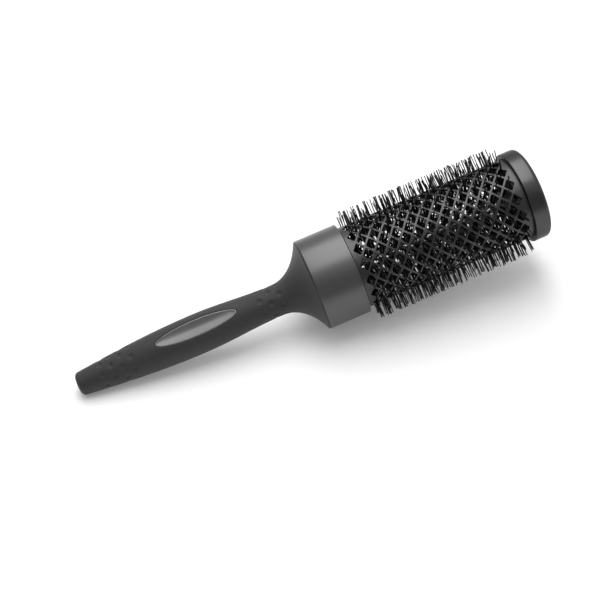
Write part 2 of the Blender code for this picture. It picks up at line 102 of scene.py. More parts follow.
print("turned about the axis:", round(math.degrees(math.atan2(-OUT[1], OUT[2] / ALONG[0])), 3), "degrees")
for node_name in ("grip_sleeve", "collar", "barrel", "end_cap"):
    print(node_name, "mm:", [round(value / MM, 2) for value in measure(node_name)])

# %% [markdown]
# ## From arrays to a mesh
# A surface that is a grid of points needs no modelling tools: the points are one array, and the quads are
# the numbers of each point and its three neighbours. Rows that shrink to a pole and seams that meet are
# left as doubled points, and one weld closes them all. After the weld the faces are turned outwards, and
# edges sharper than a limit stay crisp while the rest shades smoothly.

# %% Grid and piece helpers
WELD = 0.0005 * MM
CRISP_DEGREES = 38


def grid_quads(rows, columns, ring_rows=False, ring_columns=True):
    """Point numbers of the quads of a grid, which closes on itself along rows or columns where asked."""
    row = np.arange(rows if ring_rows else rows - 1)[:, None]
    column = np.arange(columns if ring_columns else columns - 1)[None, :]
    beside = (column + 1) % columns
    after = (row + 1) % rows
    here, next_row = row * columns, after * columns
    corners = [here + column, here + beside, next_row + beside, next_row + column]
    return np.stack(corners, axis=-1).reshape(-1, 4)


def add_piece(name, points, quads, material, slot, replaced):
    """Adds one mesh piece, welded and facing outwards, which rides on the brush in a node's place."""
    mesh = bpy.data.meshes.new(name)
    mesh.from_pydata(points.reshape(-1, 3).tolist(), [], quads.tolist())
    shape = bmesh.new()
    shape.from_mesh(mesh)
    bmesh.ops.remove_doubles(shape, verts=shape.verts, dist=WELD)
    bmesh.ops.recalc_face_normals(shape, faces=shape.faces)
    open_edges = sum(not edge.is_manifold for edge in shape.edges)
    shape.to_mesh(mesh)
    shape.free()
    mesh.shade_smooth()
    mesh.set_sharp_from_angle(angle=math.radians(CRISP_DEGREES))
    mesh.materials.append(material)
    piece = bpy.data.objects.new(name, mesh)
    bpy.context.scene.collection.objects.link(piece)
    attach(piece, "root")
    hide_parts(replaced)
    mesh.calc_loop_triangles()
    print(f"{name}: {len(mesh.loop_triangles)} triangles, {open_edges} open edges")


def turned(profile, segments):
    """Points and quads of a profile of (station, radius) carried once round the axis.

    A profile that starts on the axis ends there too, and any other one closes on itself.
    """
    profile = np.asarray(profile)
    angle = np.linspace(0, 2 * np.pi, segments, endpoint=False)
    points = around(profile[:, :1], profile[:, 1:], angle[None, :])
    return points, grid_quads(len(profile), segments, ring_rows=profile[0, 1] > 0)


def fillet(x, radius, reach, start, end, steps=5):
    """Profile points on a round of a given reach about (x, radius), from one angle to another in degrees.

    An angle counts from +X towards larger radius: station x + reach cos a, radius + reach sin a.
    """
    a = np.radians(np.linspace(start, end, steps + 1))
    return np.stack([x + reach * np.cos(a), radius + reach * np.sin(a)], axis=-1)


# %% [markdown]
# ## Adding shader nodes
# A material is a small graph. One function adds a node, sets its properties and fills its inputs, each
# with a plain value or with another node's output. Colours are written as the hex values that a paint
# program shows and turned to linear light, because that is what the shader works in.

# %% Node and colour helpers
NOISE_LOW = 0.3
NOISE_HIGH = 0.7
DRIFT_DETAIL = 3.0
GRAIN_DETAIL = 2.0
BUMP_STRENGTH = 0.6


def linear(hex_colour):
    """Linear RGBA of an sRGB hex colour: c / 12.92 below 0.04045, else ((c + 0.055) / 1.055) to the 2.4."""
    srgb = np.array([int(hex_colour[i : i + 2], 16) / 255 for i in (1, 3, 5)])
    rgb = np.where(srgb <= 0.04045, srgb / 12.92, ((srgb + 0.055) / 1.055) ** 2.4)
    return (*rgb.tolist(), 1.0)


def add_node(tree, kind, inputs, **settings):
    """Adds a shader node with its settings; an input is a plain value or the socket that feeds it."""
    new = tree.nodes.new("ShaderNode" + kind)
    for name, value in settings.items():
        setattr(new, name, value)
    for name, value in inputs.items():
        if isinstance(value, bpy.types.NodeSocket):
            tree.links.new(value, new.inputs[name])
        else:
            new.inputs[name].default_value = value
    return new


def new_finish(name, **sockets):
    """A material with one Principled shader; sockets are the values that are the same all over it."""
    material = bpy.data.materials.new(name)
    material.use_nodes = True
    shader = material.node_tree.nodes["Principled BSDF"]
    for socket, value in sockets.items():
        shader.inputs[socket.replace("_", " ")].default_value = value
    return material


def drift_and_grain(material, dark, light, drift, grain, relief, smooth, rough):
    """Links colour, roughness and bump that drift and grain over a surface.

    A soft noise of the drift's size mixes two hex colours and moves the roughness between smooth and rough.
    A noise of the grain's size stands up by the relief. Sizes are in metres, on Object coordinates.
    """
    tree = material.node_tree
    shader = tree.nodes["Principled BSDF"]
    place = add_node(tree, "TexCoord", {}).outputs["Object"]
    drifting = {"Vector": place, "Scale": 1 / drift, "Detail": DRIFT_DETAIL}
    cloud = add_node(tree, "TexNoise", drifting).outputs["Fac"]
    colour = add_node(tree, "ValToRGB", {"Fac": cloud})
    colour.color_ramp.elements[0].position = NOISE_LOW
    colour.color_ramp.elements[0].color = linear(dark)
    colour.color_ramp.elements[1].position = NOISE_HIGH
    colour.color_ramp.elements[1].color = linear(light)
    tree.links.new(colour.outputs["Color"], shader.inputs["Base Color"])
    graining = {"Vector": place, "Scale": 1 / grain, "Detail": GRAIN_DETAIL}
    speck = add_node(tree, "TexNoise", graining).outputs["Fac"]
    gloss = {"Value": cloud, "From Min": NOISE_LOW, "From Max": NOISE_HIGH}
    gloss |= {"To Min": smooth, "To Max": rough}
    tree.links.new(add_node(tree, "MapRange", gloss).outputs["Result"], shader.inputs["Roughness"])
    bump = add_node(tree, "Bump", {"Height": speck, "Strength": BUMP_STRENGTH, "Distance": relief})
    tree.links.new(bump.outputs["Normal"], shader.inputs["Normal"])
    print("finish:", material.name)


# %% [markdown]
# ## Soft grip
# The grip is a rubbery skin moulded over a hard core. It swells from a blunt butt to a belly, narrows to a
# waist and opens like a trumpet to the collar. Rings of shallow dimples sit at the tail and at the waist,
# where fingers turn the brush. A lathe and a sculpt could make it, but here one formula gives its radius
# at every station, and the dimples are taken off that radius as small bowls. The same formula shapes the
# CAD solid.

# %% Grip outline
GRIP_LENGTH = measure("grip_sleeve")[1]
MOUTH_RADIUS = measure("grip_sleeve")[3]
BUTT_RADIUS = 5.9 * MM
BUTT_CORNER = 2.4 * MM
BUTT_CROWN = 0.4 * MM
BELLY_RADIUS = 10.28 * MM
BELLY_STATION = 65.6 * MM
WAIST_RADIUS = 8.2 * MM
FLARE_LENGTH = 18.6 * MM
FLARE_SWEEP = math.radians(57)
WAIST_STATION = GRIP_LENGTH - FLARE_LENGTH


def grip_radius(x):
    """Radius of the grip at stations x.

    A quarter sine wave rises from butt to belly, half a cosine wave falls to the waist, and an elliptical
    arc opens to the mouth.
    """
    rise = (BELLY_RADIUS - BUTT_RADIUS) * np.sin(np.pi / 2 * np.clip(x / BELLY_STATION, 0, 1))
    share = np.clip((x - BELLY_STATION) / (WAIST_STATION - BELLY_STATION), 0, 1)
    fall = (BELLY_RADIUS - WAIST_RADIUS) * (1 - np.cos(np.pi * share)) / 2
    sine = np.clip((x - WAIST_STATION) / FLARE_LENGTH, 0, 1) * math.sin(FLARE_SWEEP)
    flare = (MOUTH_RADIUS - WAIST_RADIUS) * (1 - np.sqrt(1 - sine**2)) / (1 - math.cos(FLARE_SWEEP))
    return BUTT_RADIUS + rise - fall + flare


print("belly mm:", round(float(grip_radius(BELLY_STATION)) / MM, 2))

# %% Dimples
DIMPLES_AROUND = 8
DIMPLE_RADIUS = 1.9 * MM
DIMPLE_DEPTH = 0.6 * MM
DIMPLE_POWER = 1.4
DIMPLE_PITCH = 5.35 * MM
TAIL_MARGIN = 14.5 * MM
WAIST_MARGIN = 16.9 * MM
TAIL_RING_COUNT = 4
WAIST_RING_COUNT = 3
TAIL_RINGS = TAIL_MARGIN + DIMPLE_PITCH * np.arange(TAIL_RING_COUNT)[::-1]
WAIST_RINGS = GRIP_LENGTH - WAIST_MARGIN - DIMPLE_PITCH * np.arange(WAIST_RING_COUNT)[::-1]


def dimple_depth(x, angle):
    """How far the dimples sink the grip at a station and angle.

    Each ring has evenly spaced dimples and every second ring is turned by half a space. A dimple is the
    bowl depth * (1 - q squared) to a power, with q the distance from its middle over its radius.
    """
    depth = np.zeros(np.broadcast_shapes(x.shape, angle.shape))
    spacing = 2 * np.pi / DIMPLES_AROUND
    for rings in (TAIL_RINGS, WAIST_RINGS):
        for count, ring_x in enumerate(rings):
            turn = (angle + spacing * (count % 2 + 1) / 2) % spacing - spacing / 2
            q = np.hypot(x - ring_x, grip_radius(ring_x) * turn) / DIMPLE_RADIUS
            depth = np.maximum(depth, DIMPLE_DEPTH * np.clip(1 - q**2, 0, 1) ** DIMPLE_POWER)
    return depth


print("dimples:", DIMPLES_AROUND * (len(TAIL_RINGS) + len(WAIST_RINGS)))

# %% [markdown]
# ## The pocket for the inlay
# A crisp oval can't be pressed into a square grid: its edge would come out as stairs. So a rectangle of the
# grid is left out round the oval and filled with rings that run from the rectangle's border to the oval,
# over a soft shoulder, down the pocket's wall and over its floor. Border points and oval points share one
# angle, taken where the rectangle is stretched to a square, so the rings never cross.

# %% Skin with its pocket
INLAY_STATION = 65.9 * MM
INLAY_HALF_LENGTH = 21.9 * MM
INLAY_HALF_WIDTH = 4.85 * MM
POCKET_GAP = 0.2 * MM
POCKET_SHOULDER = 0.35 * MM
POCKET_DEPTH = 2.7 * MM
GRIP_WALL = 3.0 * MM
MOUTH_WALL = 3.6 * MM
MOUTH_EDGE = 0.12 * MM
MOUTH_GAP = 0.04 * MM
MOUTH_END = measure("collar")[0] - MOUTH_GAP
CROWN_ROWS = 8
CORNER_STEPS = 8
MOUTH_EDGE_STEPS = 4
INSIDE_ROWS = 40
POCKET_RINGS = 12
POCKET_EASE = 1.6
SHOULDER_STEPS = 8
POCKET_FLOOR_STEPS = 5
GRIP_COLUMNS = 192
WINDOW_COLUMNS = 24
WINDOW_START = 40.4 * MM
WINDOW_END = 91.3 * MM
FINE_STEP = 0.34 * MM
COARSE_STEP = 0.62 * MM


def steps_between(start, end, size):
    """Evenly spaced stations from a start up to, and without, an end, about a size apart."""
    return np.linspace(start, end, math.ceil((end - start) / size), endpoint=False)


def grip_profile():
    """Stations and radii of the grip's wall, from the butt's middle out to the mouth and back inside.

    Returns them with the first and last row of the pocket's window.
    """
    corner_x = BUTT_CROWN + BUTT_CORNER
    corner_radius = float(grip_radius(corner_x)) - BUTT_CORNER
    crown_share = np.linspace(0, 1, CROWN_ROWS, endpoint=False)
    crown = np.stack([BUTT_CROWN * crown_share**2, corner_radius * crown_share], axis=-1)
    corner = fillet(corner_x, corner_radius, BUTT_CORNER, 180, 90, CORNER_STEPS)[:-1]
    tail = steps_between(corner_x, WINDOW_START, FINE_STEP)
    middle = steps_between(WINDOW_START, WINDOW_END, COARSE_STEP)
    front = steps_between(WINDOW_END, MOUTH_END - MOUTH_EDGE, FINE_STEP)
    x = np.concatenate([tail, middle, front, [MOUTH_END - MOUTH_EDGE]])
    skin = np.stack([x, grip_radius(x)], axis=-1)
    edge_radius = skin[-1, 1] - MOUTH_EDGE
    edge = fillet(MOUTH_END - MOUTH_EDGE, edge_radius, MOUTH_EDGE, 90, 0, MOUTH_EDGE_STEPS)[1:]
    back = np.linspace(MOUTH_END, corner_x + GRIP_WALL, INSIDE_ROWS)
    share = np.clip((back - WAIST_STATION) / FLARE_LENGTH, 0, 1)
    inside_radius = grip_radius(back) - GRIP_WALL - (MOUTH_WALL - GRIP_WALL) * share
    inside = np.stack([back, inside_radius], axis=-1)
    inner_pole = [[corner_x + GRIP_WALL, 0.0]]
    profile = np.concatenate([crown, corner, skin, edge, inside, inner_pole])
    first = len(crown) + len(corner) + len(tail)
    return profile, first, first + len(middle)


def oval(grow, angle):
    """Station and angle round the grip of points on the inlay's outline, grown outwards by a length."""
    x = INLAY_STATION + (INLAY_HALF_LENGTH + grow) * np.cos(angle)
    return x, (INLAY_HALF_WIDTH + grow) * np.sin(angle) / BELLY_RADIUS


def pocket_rings(border_x, border_angle):
    """Stations, radii and angles of the rings between the window's border and the pocket's middle.

    The border is joined to the oval in straight steps that shorten towards it. A quarter round of the
    shoulder's size then turns down into the wall, and the floor closes on the middle.
    """
    half_x = (border_x.max() - border_x.min()) / 2
    stretched_x = (border_x - (border_x.max() + border_x.min()) / 2) / half_x
    turn = np.arctan2(border_angle / border_angle.max(), stretched_x)
    rim_x, rim_angle = oval(POCKET_GAP + POCKET_SHOULDER, turn)
    share = (1 - (1 - np.linspace(0, 1, POCKET_RINGS)) ** POCKET_EASE)[:, None]
    x = border_x + (rim_x - border_x) * share
    angle = border_angle + (rim_angle - border_angle) * share
    depth = np.zeros(len(x))
    bend = np.radians(np.linspace(0, 90, SHOULDER_STEPS + 1))[1:]
    grow = POCKET_GAP + POCKET_SHOULDER * (1 - np.sin(bend))
    down = POCKET_SHOULDER * (1 - np.cos(bend))
    shoulder = [oval(g, turn) for g in grow] + [oval(POCKET_GAP, turn)]
    floor_share = np.linspace(1, 0, POCKET_FLOOR_STEPS + 1)[1:, None]
    edge_x, edge_angle = oval(POCKET_GAP, turn)
    floor_x = INLAY_STATION + (edge_x - INLAY_STATION) * floor_share
    x = np.concatenate([x, [s[0] for s in shoulder], floor_x])
    angle = np.concatenate([angle, [s[1] for s in shoulder], edge_angle * floor_share])
    depth = np.concatenate([depth, down, np.full(1 + len(floor_share), POCKET_DEPTH)])
    return x, grip_radius(x) - depth[:, None], angle


def grip_skin():
    """Points and quads of the grip: the closed wall with its window left out, and the pocket's rings."""
    profile, first, last = grip_profile()
    angle = 2 * np.pi * (np.arange(GRIP_COLUMNS) - WINDOW_COLUMNS) / GRIP_COLUMNS
    x, radius = profile[:, :1], profile[:, 1:]
    outside = np.arange(len(profile))[:, None] < len(profile) - INSIDE_ROWS - 1
    wall = around(x, radius - np.where(outside, dimple_depth(x, angle), 0.0), angle)
    quads = grid_quads(len(profile), GRIP_COLUMNS)
    row, column = quads[:, 0] // GRIP_COLUMNS, quads[:, 0] % GRIP_COLUMNS
    quads = quads[~((row >= first) & (row < last) & (column < 2 * WINDOW_COLUMNS))]
    rows, columns = np.arange(first, last), np.arange(2 * WINDOW_COLUMNS)
    border_row = np.concatenate(
        [rows, np.full(columns.size, last), rows[::-1] + 1, np.full(columns.size, first)]
    )
    border_column = np.concatenate(
        [np.zeros(rows.size, int), columns, np.full(rows.size, columns.size), columns[::-1] + 1]
    )
    pocket_x, pocket_radius, pocket_angle = pocket_rings(profile[border_row, 0], angle[border_column])
    pocket = around(pocket_x, pocket_radius, pocket_angle)
    pocket_quads = grid_quads(*pocket_x.shape) + wall[..., 0].size
    points = np.concatenate([wall.reshape(-1, 3), pocket.reshape(-1, 3)])
    return points, np.concatenate([quads, pocket_quads])


# %% [markdown]
# The finish is a thermoplastic elastomer with a soft-touch coat. It scatters light widely, so highlights
# are faint and broad, and a little sheen lightens it where the eye skims along it. The mould leaves a fine
# grain of about a quarter of a millimetre, drawn here at half a millimetre so that it shows.

# %% Soft-touch elastomer
soft_touch = new_finish("soft_touch_elastomer", IOR=1.5, Specular_IOR_Level=0.45, Sheen_Weight=0.12)
drift_and_grain(
    soft_touch,
    dark="#282828",
    light="#2d2d2d",
    drift=18 * MM,
    grain=0.5 * MM,
    relief=0.03 * MM,
    smooth=0.62,
    rough=0.74,
)
grip_points, grip_quads = grip_skin()
add_piece("grip_skin", grip_points, grip_quads, soft_touch, "grip_rubber", "grip_sleeve")

# %% [markdown]
# ## Thumb inlay
# A hard grey oval lies in the pocket, a little below the skin. It has a narrow flat rim and a shallow dish
# for the thumb. It could be cut from the grip's own surface with a Boolean, but an oval of rings follows
# its outline exactly: a ring is a share of the way from the middle to the edge, and one profile says how
# deep each ring lies under the skin.

# %% Inlay surface
INLAY_RECESS = 0.12 * MM
INLAY_RIM = 0.75 * MM
INLAY_EDGE = 0.2 * MM
INLAY_STEP = 0.35 * MM
INLAY_STEP_RUN = 0.3 * MM
INLAY_DISH = 1.55 * MM
INLAY_BED = 2.65 * MM
INLAY_COLUMNS = 160
DISH_RINGS = 26
STEP_RINGS = 6
EDGE_RINGS = 6
BED_RINGS = 5


def inlay_rings():
    """Shares from the middle to the edge, how far the edge is drawn in, and the depth under the skin.

    The dish is recess + step + dish * (1 - share squared). A half cosine wave climbs the step to the level
    rim, the rim's edge is a quarter round, and the underside is level again.
    """
    dish_share = np.linspace(0, 1, DISH_RINGS)
    dish_depth = INLAY_STEP + INLAY_DISH * (1 - dish_share**2)
    climb = np.linspace(0, 1, STEP_RINGS + 1)[1:]
    step_draw = INLAY_RIM + INLAY_STEP_RUN * (1 - climb)
    step_depth = INLAY_STEP * (1 + np.cos(np.pi * climb)) / 2
    bend = np.radians(np.linspace(0, 90, EDGE_RINGS))
    rim_draw = INLAY_EDGE * (1 - np.sin(bend))
    rim_depth = INLAY_EDGE * (1 - np.cos(bend))
    bed_share = np.linspace(1, 0, BED_RINGS)
    share = np.concatenate([dish_share, np.ones(len(climb) + len(bend)), bed_share])
    dish_draw = np.full(len(dish_share), INLAY_RIM + INLAY_STEP_RUN)
    draw = np.concatenate([dish_draw, step_draw, rim_draw, np.zeros(len(bed_share))])
    depth = INLAY_RECESS + np.concatenate([dish_depth, step_depth, rim_depth])
    depth = np.concatenate([depth, np.full(len(bed_share), INLAY_BED)])
    return share[:, None], draw[:, None], depth[:, None]


def inlay_surface():
    """Points and quads of the inlay: rings of one oval, from the middle of the dish to that of the bed."""
    share, draw, depth = inlay_rings()
    turn = np.linspace(0, 2 * np.pi, INLAY_COLUMNS, endpoint=False)[None, :]
    edge_x, edge_angle = oval(-draw, turn)
    x = INLAY_STATION + (edge_x - INLAY_STATION) * share
    points = around(x, grip_radius(x) - depth, edge_angle * share)
    return points, grid_quads(*x.shape)


# %% [markdown]
# The inlay is ABS with fine metal flake in the plastic, moulded with a satin tool finish. It gives an even
# grey that brightens softly towards the lamp.

# %% Satin ABS
inlay_abs = new_finish("satin_abs", Metallic=0.65, Specular_IOR_Level=0.5)
drift_and_grain(
    inlay_abs,
    dark="#666666",
    light="#6c6c6c",
    drift=12 * MM,
    grain=0.4 * MM,
    relief=0.01 * MM,
    smooth=0.36,
    rough=0.42,
)
inlay_points, inlay_quads = inlay_surface()
add_piece("thumb_oval", inlay_points, inlay_quads, inlay_abs, "inlay_plastic", "thumb_inlay")

# %% [markdown]
# ## Collar and end cap
# Two lacquered rings frame the barrel. The collar is a plain band with a small round at its rear edge and a
# short cone in front. The cap is a cup with a rounded lip towards the bristles and a flat end. Both are
# closed profiles carried round the axis, with rounds on their edges, because a sharp edge catches no light.

# %% Collar and cap profiles
RING_SEGMENTS = 192
COLLAR_START, COLLAR_END, COLLAR_LIP_RADIUS, COLLAR_RADIUS = measure("collar")
BARREL_START, BARREL_END, BARREL_BORE, BARREL_RADIUS = measure("barrel")
CAP_START, CAP_END, _, CAP_RADIUS = measure("end_cap")
SLIDE_GAP = 0.2 * MM
SNUG_GAP = 0.05 * MM
COLLAR_LIP = 1.7 * MM
COLLAR_CONE = 0.6 * MM
COLLAR_EDGE = 0.2 * MM
COLLAR_REAR_ROUND = 0.6 * MM
COLLAR_TOE_LENGTH = 0.1 * MM
COLLAR_TOE_HEIGHT = 0.18 * MM
CAP_WALL = 2.0 * MM
CAP_LIP_ROUND = 0.5 * MM
CAP_END_ROUND = 2.2 * MM
CAP_BORE = BARREL_RADIUS + SLIDE_GAP
CAP_ROUND_STEPS = 8
CAP_FACE_RINGS = 6


def collar_profile():
    """Closed profile of the collar: rear edge, band, cone with a blunt toe, bore and lip inside."""
    bore = BARREL_RADIUS + SNUG_GAP
    cone_radius = COLLAR_RADIUS - bore
    cone_angle = math.degrees(math.atan2(COLLAR_CONE, cone_radius))
    rear_radius = COLLAR_RADIUS - COLLAR_REAR_ROUND
    rear = fillet(COLLAR_START + COLLAR_REAR_ROUND, rear_radius, COLLAR_REAR_ROUND, 180, 90)
    knee_x = COLLAR_END - COLLAR_CONE - COLLAR_EDGE * math.tan(math.radians(90 - cone_angle) / 2)
    knee = fillet(knee_x, COLLAR_RADIUS - COLLAR_EDGE, COLLAR_EDGE, 90, cone_angle)
    toe = [[COLLAR_END - COLLAR_TOE_LENGTH, bore + COLLAR_TOE_HEIGHT], [COLLAR_END, bore]]
    lip_x = COLLAR_START + COLLAR_LIP
    lip = [[lip_x, bore], [lip_x, COLLAR_LIP_RADIUS], [COLLAR_START, COLLAR_LIP_RADIUS]]
    return np.concatenate([rear, knee, toe, lip])


def cap_profile():
    """Profile of the cap from the middle of its end face, round the outside and back inside."""
    end_radius, lip_radius = CAP_RADIUS - CAP_END_ROUND, CAP_RADIUS - CAP_LIP_ROUND
    end = fillet(CAP_END - CAP_END_ROUND, end_radius, CAP_END_ROUND, 0, 90, CAP_ROUND_STEPS)
    lip = fillet(CAP_START + CAP_LIP_ROUND, lip_radius, CAP_LIP_ROUND, 90, 180, CAP_ROUND_STEPS)
    face_share = np.linspace(0, 1, CAP_FACE_RINGS, endpoint=False)[:, None]
    face = np.concatenate([np.full_like(face_share, CAP_END), end[0, 1] * face_share], axis=1)
    inside = [[CAP_START, CAP_BORE], [CAP_END - CAP_WALL, CAP_BORE], [CAP_END - CAP_WALL, 0.0]]
    return np.concatenate([face, end, lip, inside])


# %% [markdown]
# The lacquer is a dark metallic paint over moulded plastic, sprayed and left satin. Fine aluminium flake
# makes it reflect like a metal, but softly: a lamp becomes a broad band with a gentle edge. The flake is a
# few hundredths of a millimetre across and is drawn ten times coarser, so that a close view shows a grain.
# A grey specular tint holds back the bright rim that a bare metal shows at a glancing angle.

# %% Satin metallic lacquer
lacquer = new_finish(
    "satin_metallic_lacquer", Metallic=0.6, Specular_IOR_Level=0.52, Specular_Tint=linear("#ececec")
)
drift_and_grain(
    lacquer,
    dark="#585859",
    light="#5c5c5d",
    drift=25 * MM,
    grain=0.35 * MM,
    relief=0.004 * MM,
    smooth=0.31,
    rough=0.35,
)
add_piece("collar_band", *turned(collar_profile(), RING_SEGMENTS), lacquer, "satin_lacquer", "collar")

# %% [markdown]
# The cap has the same paint in a darker coat, with more flake. In the photograph it is nearly as bright as
# the collar where both mirror the lamp, and darker everywhere else.

# %% Darker lacquer
dark_lacquer = new_finish(
    "dark_satin_lacquer", Metallic=0.9, Specular_IOR_Level=0.5, Specular_Tint=linear("#c8c8c8")
)
drift_and_grain(
    dark_lacquer,
    dark="#494949",
    light="#4d4d4e",
    drift=25 * MM,
    grain=0.35 * MM,
    relief=0.004 * MM,
    smooth=0.26,
    rough=0.3,
)
add_piece("end_cup", *turned(cap_profile(), RING_SEGMENTS), dark_lacquer, "satin_lacquer", "end_cap")

# %% [markdown]
# ## Perforated barrel
# The barrel is a thin tube punched with staggered diamonds, so that its wall is a lattice of slanting
# struts. Cutting four hundred holes with Booleans would be slow and leave ragged facets. Instead the wall
# is tiled: each hole owns a diamond cell, and the cells fill the tube like tiles. In one cell the wall runs
# in rings from the cell's border to the rounded hole, over its edge, through the wall and back inside to
# the border. One cell is worked out, copied to every place as a whole array and bent round the tube.

# %% Lattice cell
HOLES_AROUND = 16
HOLE_COLUMNS = 25
COLUMN_PITCH = 3.39 * MM
STRUT_WIDTH = 1.1 * MM
FIRST_COLUMN_MARGIN = 4.1 * MM
FIRST_COLUMN = COLLAR_END + FIRST_COLUMN_MARGIN
HOLE_CORNER = 0.4 * MM
HOLE_CORNER_POINTS = 4
HOLE_EDGE = 0.14 * MM
HOLE_EDGE_RINGS = 4
CELL_WIDTH = np.pi * BARREL_RADIUS / HOLES_AROUND
CELL_SLANT = math.atan2(CELL_WIDTH, COLUMN_PITCH)


def rounded_diamond(strut, corner):
    """Outline of a hole as (along, round) points from the front corner, counted towards the top corner.

    The diamond is the cell with half a strut taken off its sides. Each corner is a circular arc that
    touches both sides, and a side has one more point in its middle. Its mirror images give the other three.
    """
    inset = strut / 2
    front = COLUMN_PITCH - inset / math.sin(CELL_SLANT)
    top = CELL_WIDTH - inset / math.cos(CELL_SLANT)
    normal_angle = np.pi / 2 - CELL_SLANT
    front_turn = np.linspace(0, normal_angle, HOLE_CORNER_POINTS)
    front_centre = front - corner / math.cos(normal_angle)
    front_arc = np.stack([front_centre + corner * np.cos(front_turn), corner * np.sin(front_turn)], axis=-1)
    top_turn = np.linspace(normal_angle, np.pi / 2, HOLE_CORNER_POINTS)
    top_centre = top - corner / math.sin(normal_angle)
    top_arc = np.stack([corner * np.cos(top_turn), top_centre + corner * np.sin(top_turn)], axis=-1)
    middle = (front_arc[-1:] + top_arc[:1]) / 2
    side = np.concatenate([front_arc, middle, top_arc])
    upper = np.concatenate([side, side[-2::-1] * [-1, 1]])
    return np.concatenate([upper, upper[-2:0:-1] * [1, -1]])


def cell_border(outline):
    """Points on the cell's own diamond, one for each point of a hole's outline.

    A point's share of the way up its side is |round| / width over |along| / pitch + |round| / width. It is
    averaged with the share counted down the side, so that the points of neighbouring cells fall together.
    """
    stretched = np.abs(outline) / [COLUMN_PITCH, CELL_WIDTH]
    share = stretched[:, 1] / stretched.sum(axis=1)
    count = len(outline) // 4
    side = np.append(share[:count], 1.0)
    side = (side + 1 - side[::-1]) / 2
    upper = np.concatenate([side, side[-2::-1]])
    share = np.concatenate([upper, upper[-2:0:-1]])
    border = np.column_stack([COLUMN_PITCH * (1 - share), CELL_WIDTH * share])
    return border * np.where(np.abs(outline) > WELD, np.sign(outline), 0.0)


def lattice_cell():
    """Rings of one cell as (along, round, radius): border, rounded hole edge, hole and inner border."""
    hole = rounded_diamond(STRUT_WIDTH, HOLE_CORNER)
    bend = np.radians(np.linspace(0, 90, HOLE_EDGE_RINGS))
    rings = [(cell_border(hole), BARREL_RADIUS)]
    for a in bend:
        draw = HOLE_EDGE * (1 - math.sin(a))
        edge = rounded_diamond(STRUT_WIDTH - 2 * draw, HOLE_CORNER + draw)
        rings.append((edge, BARREL_RADIUS - HOLE_EDGE * (1 - math.cos(a))))
    rings.append((hole, BARREL_BORE))
    rings.append((cell_border(hole), BARREL_BORE))
    return np.stack([np.column_stack([outline, np.full(len(outline), r)]) for outline, r in rings])


print("hole across mm:", (np.ptp(rounded_diamond(STRUT_WIDTH, HOLE_CORNER), axis=0) / MM).round(2))

# %% [markdown]
# The zigzag that the outermost cells leave is filled by a plain band at each end: every border point of the
# first and last column is carried straight out to the end of the tube, outside and inside.

# %% Barrel from its cells


def barrel_lattice():
    """Points and quads of the barrel: every cell bent round the tube, with a plain band at each end."""
    cell = lattice_cell()
    rings, count = cell.shape[:2]
    column = np.arange(HOLE_COLUMNS)[:, None]
    middle_x = FIRST_COLUMN + COLUMN_PITCH * column
    middle_angle = 2 * np.pi / HOLES_AROUND * (np.arange(HOLES_AROUND) + column % 2 / 2)
    x = middle_x[..., None, None] + cell[..., 0]
    angle = middle_angle[..., None, None] + cell[..., 1] / BARREL_RADIUS
    x = np.broadcast_to(x, angle.shape)
    cells = around(x, cell[..., 2], angle)
    cell_number = np.arange(HOLE_COLUMNS * HOLES_AROUND)[:, None, None]
    quads = (grid_quads(rings, count) + cell_number * rings * count).reshape(-1, 4)
    parts, faces = [cells.reshape(-1, 3)], [quads]
    for column_index, side, end_x in ((0, -1, BARREL_START), (HOLE_COLUMNS - 1, 1, BARREL_END)):
        facing = np.flatnonzero(side * cell[0, :, 0] >= -WELD)
        facing = facing[np.argsort(cell[0, facing, 1])]
        edge_x = x[column_index][:, [0, -1]][:, :, facing]
        edge_angle = angle[column_index][:, [0, -1]][:, :, facing]
        band_x = np.stack([edge_x[:, 0], np.full_like(edge_x[:, 0], end_x)], axis=1)
        band_x = np.concatenate([band_x, band_x[:, ::-1]], axis=1)
        band_angle = np.repeat(edge_angle[:, :1], 4, axis=1)
        band_radius = np.array([BARREL_RADIUS, BARREL_RADIUS, BARREL_BORE, BARREL_BORE])[None, :, None]
        band = around(band_x, band_radius, band_angle)
        offset = sum(len(part) for part in parts)
        strip = grid_quads(4, len(facing), ring_columns=False)
        band_number = np.arange(HOLES_AROUND)[:, None, None]
        faces.append((strip + offset + band_number * 4 * len(facing)).reshape(-1, 4))
        parts.append(band.reshape(-1, 3))
    return np.concatenate(parts), np.concatenate(faces)


# %% [markdown]
# The tube is aluminium with a black ceramic coat over the anodised metal. It is grey where it mirrors the
# lamp and nearly black where it doesn't, with a satin gloss.

# %% Coated aluminium
coated_alloy = new_finish(
    "black_coated_aluminium", Metallic=0.85, Specular_IOR_Level=0.5, Specular_Tint=linear("#f4f4f4")
)
drift_and_grain(
    coated_alloy,
    dark="#474747",
    light="#4d4d4d",
    drift=9 * MM,
    grain=0.3 * MM,
    relief=0.006 * MM,
    smooth=0.36,
    rough=0.42,
)
barrel_points, barrel_quads = barrel_lattice()
add_piece("barrel_lattice", barrel_points, barrel_quads, coated_alloy, "barrel_alloy", "barrel")

# %% [markdown]
# ## Twisted stem
# Two wires twist round each other along the middle and hold the bristles by their waists. Each is a circle
# carried along a helix. A curve with a bevel would do as well, but the same array code that draws the
# bristles draws the wires. The photograph shows which way they twist: white floor is seen mostly through
# the upper half of the barrel, because there the gaps between the turns run along with the line of sight.
# The CAD stem twists the other way.

# %% Tubes along many paths
HALF_TURN = 2 * COLUMN_PITCH
FIRST_ROW = FIRST_COLUMN - HALF_TURN / 4
WIRE_RADIUS = 0.8 * MM
WIRE_HELIX = 1.35 * MM
WIRE_SIDES = 10
WIRE_STEP = 0.6 * MM
CLEAR_OF_PATHS = ALONG + 0.37 * ACROSS


